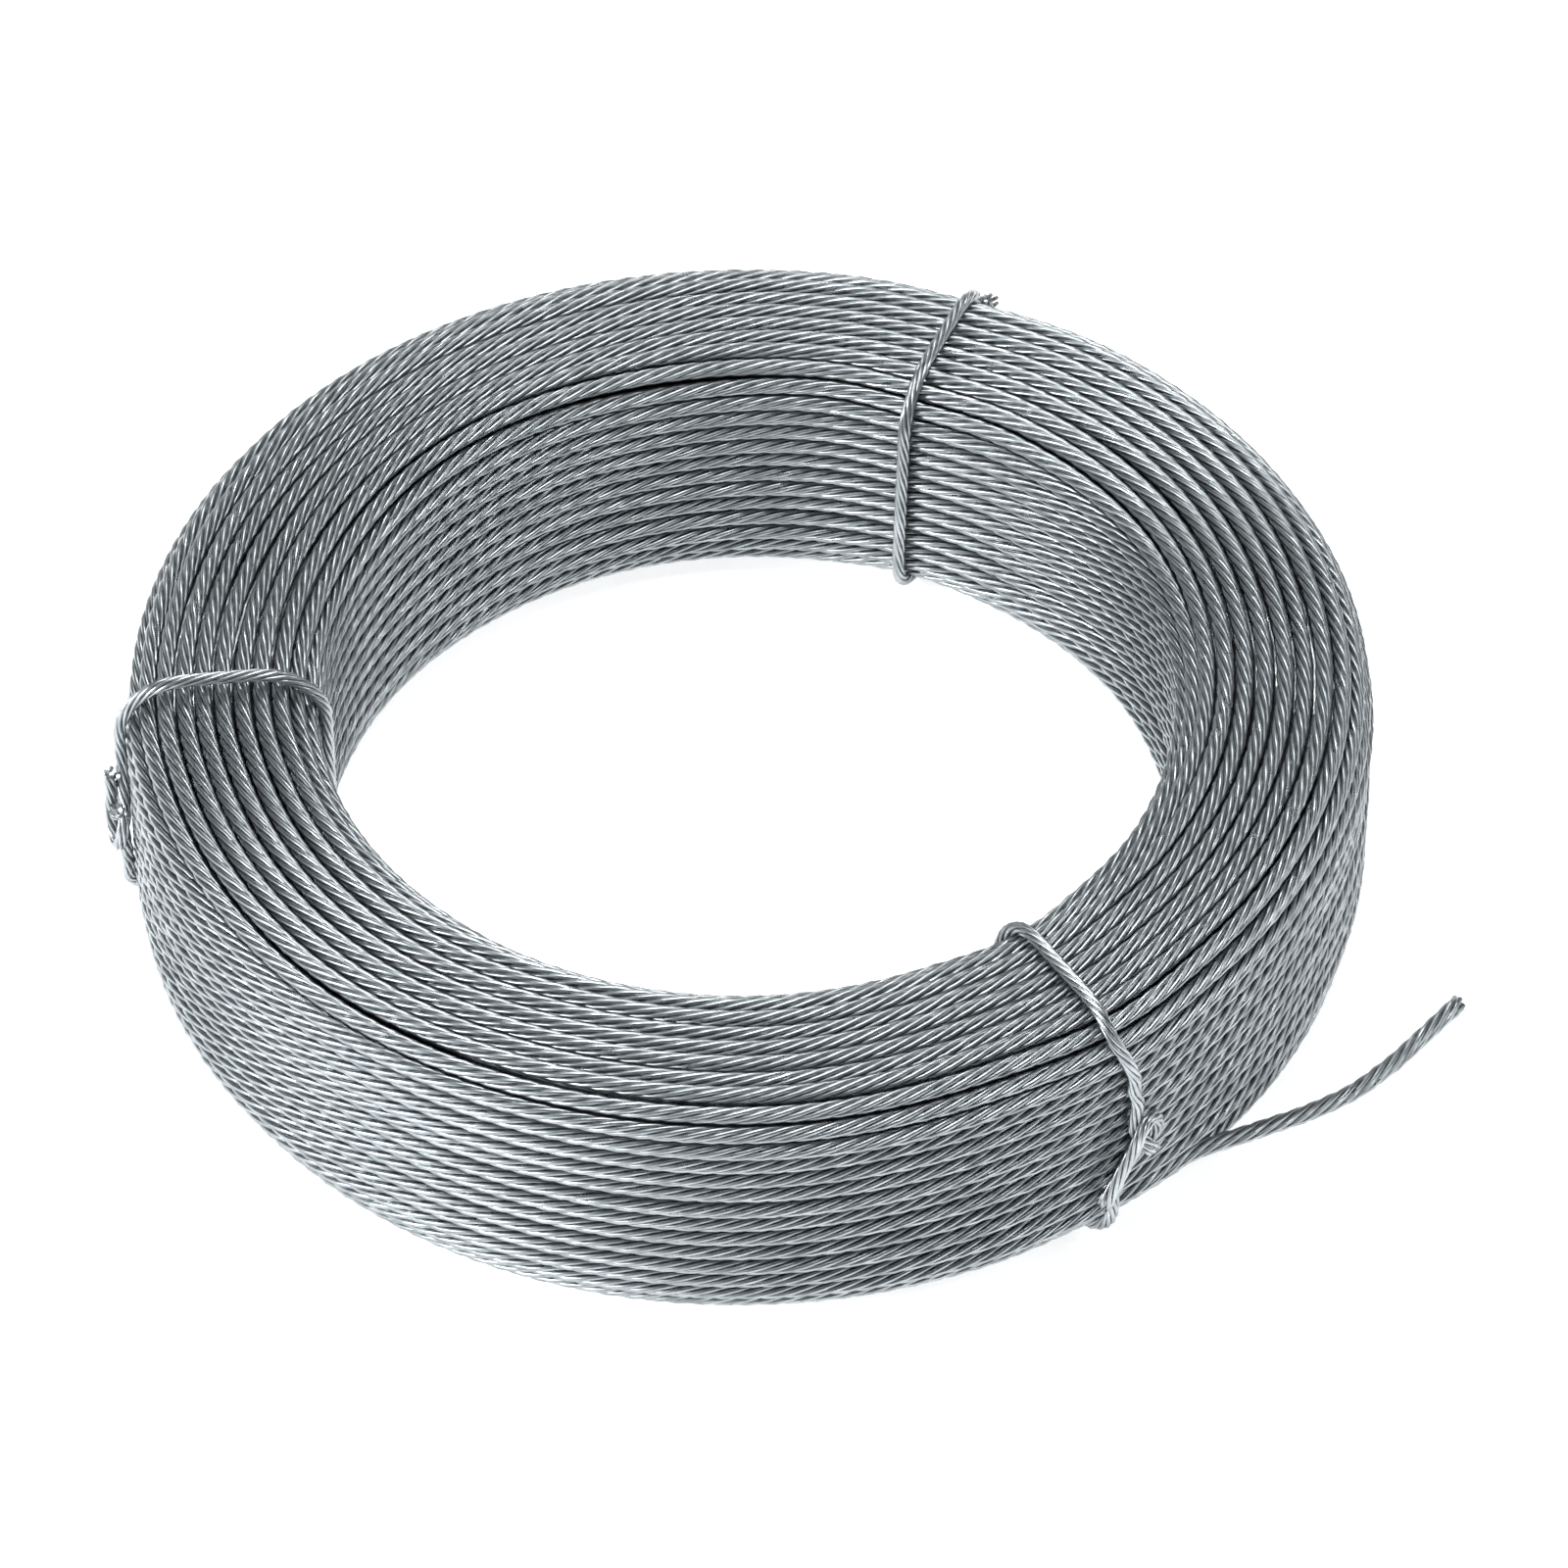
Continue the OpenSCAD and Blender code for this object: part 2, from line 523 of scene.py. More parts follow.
    def _add_places(self, mesh: bpy.types.Mesh, turn: np.ndarray) -> None:
        """Writes where each corner is round and along its wire, for the drawing marks.

        Args:
            mesh: The mesh that has the rings' corners.
            turn: Angle of each of a ring's corners.
        """
        places = np.empty((len(self.centres), self.sides, 3))
        places[..., 0] = np.cos(turn)[None, :] * self.radii[:, None]
        places[..., 1] = np.sin(turn)[None, :] * self.radii[:, None]
        places[..., 2] = self.along[:, None] + self.shift
        attribute = mesh.attributes.new(PLACE_ATTRIBUTE, "FLOAT_VECTOR", "POINT")
        attribute.data.foreach_set("vector", places.astype(np.float32).ravel())


@dataclass(frozen=True)
class Lay:
    """How seven wires make a strand: six laid left-handed round a core wire.

    Attributes:
        diameter: Diameter of the strand.
        lay_length: Length in which an outer wire goes once round.
        rings_per_lay: Rings of an outer wire's mesh in one lay length.
        wires: Number of outer wires.
        flare: Share by which the outer wires spread at a cut end.
        flare_length: Length over which they spread.
        flare_range: How much of that spread a wire takes: the least and the most.
        cut_range: The most that a wire is cut short, as a share of its radius.
        pattern_step: Shift of the surface pattern from one wire to the next.
    """

    diameter: float
    lay_length: float
    rings_per_lay: int = 10
    wires: int = 6
    flare: float = 0.0
    flare_length: float = 3 * MM
    flare_range: tuple[float, float] = (0.4, 1.6)
    cut_range: float = 0.35
    pattern_step: float = 7.3

    @property
    def wire_radius(self) -> float:
        """Radius of one wire."""
        return self.diameter / 6

    def outer_wires(self, strand: Strand, begin: float, name: str, seed: int) -> list[Tube]:
        """Lays the outer wires on a strand.

        Args:
            strand: The strand.
            begin: Distance along the strand at which the wires start.
            name: Start of the wires' names.
            seed: Seed of the wires' small differences.

        Returns:
            The wires.
        """
        draw = np.random.default_rng(seed)
        count = math.ceil((strand.length - begin) / self.lay_length * self.rings_per_lay)
        tubes = []
        for number in range(self.wires):
            cut = draw.uniform(0, self.cut_range) * self.wire_radius
            at = np.linspace(begin, strand.length - cut, count)
            heading, side = strand.frames(at)
            over = np.cross(heading, side)
            phase = TURN * number / self.wires - TURN * at / self.lay_length
            spoke = side * np.cos(phase)[:, None] + over * np.sin(phase)[:, None]
            to_cut = np.minimum(strand.length - at, at - begin if begin == 0 else np.inf)
            spread = smooth_step(1 - to_cut / self.flare_length)
            flare = self.flare * draw.uniform(*self.flare_range)
            reach = 2 * self.wire_radius * (1 + flare * spread)
            centres = strand.middle(at) + reach[:, None] * spoke
            radii = np.full(count, self.wire_radius)
            shift = number * self.pattern_step
            tubes.append(Tube(f"{name}_{number + 1}", centres, radii, spoke, at, shift=shift))
        return tubes


@dataclass
class WireRope:
    """The rope: wound layer on layer from its hidden inner end to its loose cut tail.

    Attributes:
        section: The ring that the rope fills.
        tail_angle: Angle round the ring at which the rope leaves it.
        tail_height: Height there of the rope's underside.
        tail_route: The bent rope from there: along the ring's tangent, towards its axis, and
            the height of the rope's underside.
        end_turn: Turn of the cut end towards the ring's axis.
        end_length: Length of the straight cut end.
        lay: How the rope's wires are laid.
        inner_turns: Turns of each hidden layer, from the innermost.
        inner_slots: Turns that each hidden layer has room for.
        inner_insets: Depth of each hidden layer's rope centres.
        surface_turns: Turns of the outermost layer.
        surface_inset: Depth of its rope centres.
        climb: Share of a turn in which the rope climbs to the next layer.
        hidden_points: Points in a hidden turn.
        surface_points: Points in an outermost turn.
        exit_points: Points over which the last turn eases out to the tail.
        drop: The most that an outermost turn sinks.
        drop_middle: Share of the drop that is usual.
        drop_spread: How strongly that share varies.
        spacing_strength: How strongly the gaps between outermost turns vary.
        spacing_noise: Where those gaps are wide and narrow.
        depth_noise: Where the outermost turns sink.
        wire_lead: Length of the outer wires inside the hidden layers.
        line: The line that the rope's middle follows.
        surface_start: Distance along it at which the outermost layer starts.
    """

    section: RingSection
    tail_angle: float
    tail_height: float
    tail_route: tuple[tuple[float, ...], ...]
    end_turn: float
    end_length: float
    lay: Lay
    inner_turns: tuple[int, ...] = (6, 22, 30, 37)
    inner_slots: tuple[int, ...] = (14, 22, 30, 37)
    inner_insets: tuple[float, ...] = millimetres(9.45, 7.4, 5.35, 3.3)
    surface_turns: int = 42
    surface_inset: float = 1.0 * MM
    climb: float = 0.11
    hidden_points: int = 48
    surface_points: int = 480
    exit_points: int = 53
    drop: float = 0.3 * MM
    drop_middle: float = 0.5
    drop_spread: float = 0.33
    spacing_strength: float = 0.9
    spacing_noise: Noise = Noise(seed=11, waves=60, slot_waves=40, angle_waves=4)
    depth_noise: Noise = Noise(seed=5, waves=60, slot_waves=40, angle_waves=4)
    wire_lead: float = 20 * MM
    line: Strand = field(init=False)
    surface_start: float = field(init=False)

    def __post_init__(self) -> None:
        """Works out the line that the rope's middle follows."""
        hidden = self._hidden_turns()
        surface = self._surface_turns()
        surface += self._pull_to_exit(surface)
        tail = self._tail(surface[-1] - surface[-2])
        self.line = Strand.through(np.concatenate([hidden[:-1], surface, tail[1:]]))
        self.surface_start = float(self.line.at[len(hidden) - 1])

    @property
    def radius(self) -> float:
        """Radius of the rope."""
        return self.lay.diameter / 2

    def _angles(self, turns: np.ndarray) -> np.ndarray:
        """Returns the angle round the ring after turns, where whole turns end at the exit."""
        return self.tail_angle + TURN * turns

    def _hidden_turns(self) -> np.ndarray:
        """Winds the hidden layers.

        Returns:
            The points of the rope's middle, from the inner end to the outermost layer.
        """
        layers = [self.section.layer(inset) for inset in self.inner_insets]
        lines = []
        for number, (count, slots) in enumerate(zip(self.inner_turns, self.inner_slots)):
            turns = np.arange(count * self.hidden_points + 1) / self.hidden_points
            share = (slots - count + turns) / slots
            flat = np.zeros_like(turns)
            own = layers[number].at(share, flat)
            before = layers[max(number - 1, 0)].at(share, flat)
            climbed = smooth_step(turns / self.climb)[:, None]
            points = before + (own - before) * climbed
            line = self.section.place(points, self._angles(turns))
            lines.append(line if number == 0 else line[1:])
        return np.concatenate(lines)

    def _surface_shares(self, turns: np.ndarray) -> np.ndarray:
        """Spaces the outermost turns unevenly, and never closer than the rope is wide.

        Args:
            turns: Turns since the outermost layer's start.

        Returns:
            The place of each point along the layer's outline, from 0 to 1.
        """
        per_slot, angle_steps = 8, 720
        slots = self.surface_turns
        grid_share = np.arange(slots * per_slot + 1) / (slots * per_slot)
        grid_angle = np.arange(angle_steps + 1) / angle_steps * TURN
        noise = self.spacing_noise.at(grid_share[None, :], grid_angle[:, None])
        loose = np.exp(self.spacing_strength * noise)
        filled = np.cumsum((loose[:, 1:] + loose[:, :-1]) / 2, axis=1)
        filled = np.concatenate([np.zeros((angle_steps + 1, 1)), filled], axis=1)
        filled /= filled[:, -1:]
        angle_at = (turns % 1.0) * angle_steps
        row = np.minimum(angle_at.astype(int), angle_steps - 1)
        part = angle_at - row
        slot_at = np.minimum(turns / slots, 1.0) * slots * per_slot
        column = np.minimum(slot_at.astype(int), slots * per_slot - 1)
        ahead = slot_at - column
        near = filled[row, column] * (1 - ahead) + filled[row, column + 1] * ahead
        far = filled[row + 1, column] * (1 - ahead) + filled[row + 1, column + 1] * ahead
        uneven = near * (1 - part) + far * part
        outline = self.section.layer(self.surface_inset).length
        tight = 1 - self.section.pinch * self.section.grip(self._angles(turns))
        packed = slots * self.lay.diameter / (outline * tight)
        return packed * turns / slots + (1 - packed) * uneven

    def _surface_turns(self) -> np.ndarray:
        """Winds the outermost layer.

        Returns:
            The points of the rope's middle.
        """
        count = self.surface_turns * self.surface_points + 1
        turns = np.arange(count) / self.surface_points
        angles = self._angles(turns)
        share = self._surface_shares(turns)
        noise = self.depth_noise.at(turns / self.surface_turns, angles)
        sunk = self.drop * (self.drop_middle + self.drop_spread * noise)
        sunk = np.clip(sunk, 0.0, self.drop) * (1 - self.section.grip(angles))
        own = self.section.layer(self.surface_inset).at(share, sunk)
        before = self.section.layer(self.inner_insets[-1]).at(share, np.zeros_like(turns))
        climbed = smooth_step(turns / self.climb)[:, None]
        return self.section.place(before + (own - before) * climbed, angles)

    def _from_route(self, route: np.ndarray) -> np.ndarray:
        """Moves points of the tail's route to where the rope leaves the ring.

        Args:
            route: Points along the ring's tangent, towards its axis, and the height of the
                rope's underside.

        Returns:
            The points of the rope's middle.
        """
        cos, sin = math.cos(self.tail_angle), math.sin(self.tail_angle)
        out = self.section.outer - self.radius - route[:, 1]
        x = out * cos - route[:, 0] * sin
        y = out * sin + route[:, 0] * cos
        return np.stack([x, y, route[:, 2] + self.radius], axis=1)

    def _pull_to_exit(self, surface: np.ndarray) -> np.ndarray:
        """Eases the last stretch of the ring's outermost turn to the tail's start.

        Args:
            surface: The points of the outermost layer.

        Returns:
            What to add to each point.
        """
        exit_point = self._from_route(np.array([[0.0, 0.0, self.tail_height]]))[0]
        eased = smooth_step(np.linspace(0, 1, self.exit_points))
        move = np.zeros_like(surface)
        move[-self.exit_points :] = eased[:, None] * (exit_point - surface[-1])
        return move

    def _tail(self, leaving: np.ndarray, step: float = 0.5 * MM) -> np.ndarray:
        """Draws the loose tail.

        Args:
            leaving: Direction in which the rope leaves the ring.
            step: The longest distance between points.

        Returns:
            The points of the rope's middle, from the exit to the cut.
        """
        bend = [(0.0, 0.0, self.tail_height), *self.tail_route]
        end_way = np.array([math.cos(self.end_turn), math.sin(self.end_turn), 0.0])
        cut_end = [bend[-1] + end_way * self.end_length * k / 2 for k in (1, 2)]
        points = self._from_route(np.array([*bend, *cut_end]))
        return smooth_line(points, leaving, points[-1] - points[-2], step)

    def _core(self) -> Tube:
        """Makes the core tube, which fills the hidden turns and backs the outer wires.

        Returns:
            The tube.
        """
        hidden_step, shown_rings = 9.2 * MM, 4150
        inside_end, inside_ease = self.surface_start + 30 * MM, 25 * MM
        cut_start, cut_ease = self.line.length - 12 * MM, 8 * MM
        full, backing = 0.98 * self.radius, 0.5 * self.radius
        hidden = np.arange(0.0, self.surface_start, hidden_step)
        shown = np.linspace(self.surface_start, self.line.length, shown_rings)
        at = np.concatenate([hidden, shown])
        inside = smooth_step((inside_end - at) / inside_ease)
        near_cut = smooth_step((at - cut_start) / cut_ease)
        radii = backing + (full - backing) * inside
        radii = radii + (self.lay.wire_radius - backing) * near_cut
        return Tube("wire_rope", self.line.middle(at), radii, UP, at)

    def build(self, finish: bpy.types.Material) -> None:
        """Args:
            finish: The rope's material.
        """
        core_tube = self._core()
        core = core_tube.build(finish, Slot.ROPE)
        start = self.surface_start - self.wire_lead
        tubes = self.lay.outer_wires(self.line, start, "rope_wire", seed=3)
        wires = [tube.build(finish, Slot.ROPE) for tube in tubes]
        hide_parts("coil", "tail", "rope_end")
        log.info("wire rope: %.2f m, %d turns in sight", self.line.length, self.surface_turns)


class KnotHand(enum.Enum):
    """Which way up a tie's knot is: where its long cut end points."""

    END_DOWN = 1
    END_UP = -1


@dataclass(frozen=True)
class HookKnot:
    """Two strand ends hooked round each other on the ring's outer wall, in millimetres.

    Each point is outwards from a strand that lies on the wall, along the ring, and up from the
    knot's middle, for a knot whose long end points down.

    Attributes:
        hand: Which way up the knot is.
        end_step: Step from one point of the long end to the next.
        end_steps: Number of those steps.
        short_hook: The strand from above, from the wall to its short cut end.
        long_hook: The strand from below, from the wall to where its long end starts.
    """

    hand: KnotHand
    end_step: tuple[float, float, float]
    end_steps: int = 3
    short_hook: tuple[tuple[float, float, float], ...] = (
        (0.0, -0.9, 7.0),
        (0.1, -0.4, 4.8),
        (0.3, -0.8, 2.7),
        (0.3, -0.9, 1.2),
        (0.2, -0.3, -0.2),
        (0.4, 0.4, -1.4),
        (0.9, 0.8, -2.2),
        (1.3, 1.0, -2.7),
    )
    long_hook: tuple[tuple[float, float, float], ...] = (
        (0.0, -3.2, -8.0),
        (0.0, -1.9, -4.8),
        (0.0, -0.6, -2.8),
        (0.1, 0.9, -1.8),
        (0.4, 1.9, -0.6),
        (0.8, 1.9, 1.4),
        (1.1, 0.8, 2.8),
        (1.4, -0.5, 2.2),
        (1.6, -1.4, 0.7),
        (1.5, -1.9, -0.7),
    )

    def strands(self) -> tuple[np.ndarray, np.ndarray]:
        """Places the two strands.

        Returns:
            The upper and the lower strand, each from the wall to its cut end.
        """
        last = np.array(self.long_hook[-1])
        end = [last + np.array(self.end_step) * (k + 1) for k in range(self.end_steps)]
        long = np.concatenate([self.long_hook, end]) * MM
        short = np.array(self.short_hook) * MM
        if self.hand is KnotHand.END_DOWN:
            return short, long
        flip = np.array([1.0, 1.0, -1.0])
        return long * flip, short * flip


@dataclass(frozen=True)
class WireTie:
    """One wire tie: a loop round the ring's section, its two ends hooked together and cut.

    Attributes:
        name: Name of the tie's CAD node.
        angle: Angle of the tie round the ring.
        knot_height: Height of the middle of the knot.
        knot: The knot.
        knot_along: How far along the ring the knot is from the tie's angle.
        lean: How far the loop strays along the ring at each corner, from the outer top one.
        lift: How far the loop stands off the ring over the top.
        section: The ring that the tie holds.
        lay: How the tie's wires are laid.
        clearance: Gap between the tie and the ring. Below zero, the tie bites into the turns.
        loop_points: Points of the loop.
        loop_ease: Share of the outline between each end of the loop and the knot.
        lift_edge: Where the lift ends, as a share of the section's half width.
        lift_power: How soon the lift fades down the walls.
        line_step: The longest distance between points of the tie's line.
        core_step: Distance between rings of the core.
        core_setback: How far the core stops short of the cut ends.
        core_share: Radius of the core, as a share of an outer wire's.
    """

    name: str
    angle: float
    knot_height: float
    knot: HookKnot
    knot_along: float
    lean: tuple[float, ...]
    lift: float
    section: RingSection
    lay: Lay
    clearance: float = -0.1 * MM
    loop_points: int = 45
    loop_ease: float = 0.02
    lift_edge: float = 1.2
    lift_power: int = 4
    line_step: float = 0.3 * MM
    core_step: float = 0.8 * MM
    core_setback: float = 0.15 * MM
    core_share: float = 1.25

    def _knot_strand(self, strand: np.ndarray) -> np.ndarray:
        """Moves a knot's strand to the ring.

        Args:
            strand: Points outwards, along and up from the knot's middle.

        Returns:
            Points outwards and up from the section's middle, with the way along the ring last.
        """
        out = self.section.half_width + self.clearance + self.lay.diameter / 2 + strand[:, 0]
        rise = self.knot_height - self.section.low - self.section.height / 2
        return np.stack([out, rise + strand[:, 2], self.knot_along + strand[:, 1]], axis=1)

    def _loop(self, start: np.ndarray, end: np.ndarray) -> np.ndarray:
        """Makes the loop from above the knot, over the top and back from below.

        Args:
            start: Where the upper strand leaves the wall.
            end: Where the lower strand leaves the wall.

        Returns:
            Points outwards and up from the section's middle, with the way along the ring last.
        """
        outline = self.section.layer(-self.clearance - self.lay.diameter / 2)
        first = self._wall_share(outline, start[1]) + self.loop_ease
        last = self._wall_share(outline, end[1]) + (1 - self.loop_ease)
        share = np.linspace(first, last, self.loop_points)
        flat = outline.at(share, np.zeros_like(share))
        level = flat[:, 1] / (self.section.height / 2)
        over_top = np.clip(level, 0, 1) ** self.lift_power
        inwards = smooth_step(self.lift_edge - np.abs(flat[:, 0]) / self.section.half_width)
        flat[:, 1] += self.lift * over_top * inwards
        corners = [self._corner_share(outline, corner) for corner in range(4)]
        along = np.interp(share, [first, *corners, last], [start[2], *self.lean, end[2]])
        return np.column_stack([flat, along])

    @staticmethod
    def _wall_share(outline: Layer, rise: float) -> float:
        """Returns the place on the outline's outer wall at a height from its middle."""
        wall = (outline.points[:, 0] > 0) & (outline.share < 0.5)
        return float(np.interp(rise, outline.points[wall, 1], outline.share[wall]))

    @staticmethod
    def _corner_share(outline: Layer, corner: int) -> float:
        """Returns the place on the outline of a corner, from the outer top one round."""
        toward = unit(np.array([[1, 1], [-1, 1], [-1, -1], [1, -1]], float))[corner]
        return float(outline.share[(outline.normals @ toward).argmax()])

    def _line(self) -> Strand:
        """Returns the line that the tie's middle follows, from its upper strand's cut end."""
        upper, lower = (self._knot_strand(strand) for strand in self.knot.strands())
        points = np.concatenate([upper[::-1], self._loop(upper[0], lower[0]), lower])
        radius = self.section.middle + points[:, 0]
        angles = self.angle + points[:, 2] / radius
        placed = self.section.place(points[:, :2], angles)
        placed[:, 2] = np.maximum(placed[:, 2], self.lay.diameter / 2)
        first, last = placed[1] - placed[0], placed[-1] - placed[-2]
        return Strand.through(smooth_line(placed, first, last, self.line_step))

    def build(self, finish: bpy.types.Material) -> None:
        """Builds the tie's core wire and its outer wires.

        Args:
            finish: The tie's material.
        """
        line = self._line()
        count = math.ceil(line.length / self.core_step)
        at = np.linspace(self.core_setback, line.length - self.core_setback, count)
        radii = np.full(count, self.lay.wire_radius * self.core_share)
        core_tube = Tube(f"{self.name}_core", line.middle(at), radii, line.frames(at)[1], at)
        core = core_tube.build(finish, Slot.TIE)
        seed = sum(map(ord, self.name))
        for tube in self.lay.outer_wires(line, 0.0, f"{self.name}_wire", seed):
            tube.build(finish, Slot.TIE)
        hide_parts(self.name)
        log.info("%s: %.0f mm of strand", self.name, line.length / MM)


@dataclass(frozen=True)
class GalvanisedSteel:
    """Drawn steel wire with a thin bright zinc coat.

    Attributes:
        name: Name of the finish.
        bright: Colour of clean zinc.
        dull: Colour of zinc that has dulled.
        smoothest: Roughness of clean zinc.
        roughest: Roughness of dulled zinc.
        patch_size: Size of the dull patches.
        patch_detail: How finely the patches are broken up.
        patch_raggedness: How strongly they are.
        patch_edges: Noise levels between which dulled zinc turns into clean.
        patch_tint: Share of the colour that the patches give.
        mark_width: Width of the drawing marks along the wire.
        mark_stretch: Width of a mark as a share of its length.
        mark_detail: How finely the marks are broken up.
        mark_tint: Share of the colour that the marks give.
        mark_depth: Depth of the marks.
        mark_strength: How strongly the marks tilt the light.
    """

    name: str
    bright: tuple[float, float, float]
    dull: tuple[float, float, float]
    smoothest: float = 0.26
    roughest: float = 0.4
    patch_size: float = 2.2 * MM
    patch_detail: float = 3.0
    patch_raggedness: float = 0.6
    patch_edges: tuple[float, float] = (0.33, 0.67)
    patch_tint: float = 0.7
    mark_width: float = 0.12 * MM
    mark_stretch: float = 0.05
    mark_detail: float = 2.0
    mark_tint: float = 0.45
    mark_depth: float = 0.0008 * MM
    mark_strength: float = 0.6

    def material(self) -> bpy.types.Material:
        """Makes the finish's material.

        Returns:
            The material.
        """
        made = bpy.data.materials.new(self.name)
        made.use_nodes = True
        tree = made.node_tree
        patches = self._patches(tree)
        marks = self._marks(tree)
        faint = add_node(tree, "Math", {0: marks, 1: self.mark_tint}, operation="MULTIPLY")
        both = {0: patches, 1: self.patch_tint, 2: faint.outputs[0]}
        clean = add_node(tree, "Math", both, operation="MULTIPLY_ADD", use_clamp=True)
        ends = {"A": (*self.dull, 1.0), "B": (*self.bright, 1.0), "Factor": clean.outputs[0]}
        colour = add_node(tree, "Mix", ends, data_type="RGBA")
        levels = {"Value": patches, "To Min": self.roughest, "To Max": self.smoothest}
        rough = add_node(tree, "MapRange", levels)
        relief = {"Strength": self.mark_strength, "Distance": self.mark_depth, "Height": marks}
        bump = add_node(tree, "Bump", relief)
        shader = tree.nodes["Principled BSDF"]
        shader.inputs["Metallic"].default_value = 1.0
        tree.links.new(colour.outputs["Result"], shader.inputs["Base Color"])
        tree.links.new(rough.outputs["Result"], shader.inputs["Roughness"])
        tree.links.new(bump.outputs["Normal"], shader.inputs["Normal"])
        return made

    def _patches(self, tree: bpy.types.NodeTree) -> bpy.types.NodeSocket:
        """Adds the cloudy change from dulled to clean zinc.

        Args:
            tree: The material's nodes.

        Returns:
            The socket that gives 0 on dulled zinc and 1 on clean.
        """
        cloud = {
            "Vector": add_node(tree, "TexCoord", {}).outputs["Object"],
            "Scale": 1 / self.patch_size,
            "Detail": self.patch_detail,
            "Roughness": self.patch_raggedness,
        }
        level = add_node(tree, "TexNoise", cloud).outputs["Fac"]
        low, high = self.patch_edges
        edges = {"Value": level, "From Min": low, "From Max": high}
        return add_node(tree, "MapRange", edges).outputs["Result"]

    def _marks(self, tree: bpy.types.NodeTree) -> bpy.types.NodeSocket:
        """Adds the fine marks that the drawing die leaves along the wire.

        Args:
            tree: The material's nodes.

        Returns:
            The socket that gives the marks' height from 0 to 1.
        """
        place = add_node(tree, "Attribute", {}, attribute_name=PLACE_ATTRIBUTE)
        drawn = {"Vector": place.outputs["Vector"], "Scale": (1.0, 1.0, self.mark_stretch)}
        lines = {
            "Vector": add_node(tree, "Mapping", drawn).outputs["Vector"],
            "Scale": 1 / self.mark_width,
            "Detail": self.mark_detail,
        }
        return add_node(tree, "TexNoise", lines).outputs["Fac"]


@dataclass(frozen=True)
class Lamp:
    """One soft rectangular lamp.

    Attributes:
        name: Name of the lamp.
        place: Where it hangs.
        power: Its power in watts.
        width: Its width.
        height: Its height.
    """

    name: str
    place: tuple[float, float, float]
    power: float
    width: float
    height: float

    def hang(self) -> None:
        """Hangs the lamp, facing the object."""
        data = bpy.data.lights.new(self.name, "AREA")
        data.shape = "RECTANGLE"
        data.size, data.size_y = self.width, self.height
        data.energy = self.power
        lamp = add_object(self.name, data)
        lamp.location = self.place
        aim = -lamp.location.normalized()
        lamp.rotation_euler = aim.to_track_quat("-Z", "Y").to_euler()


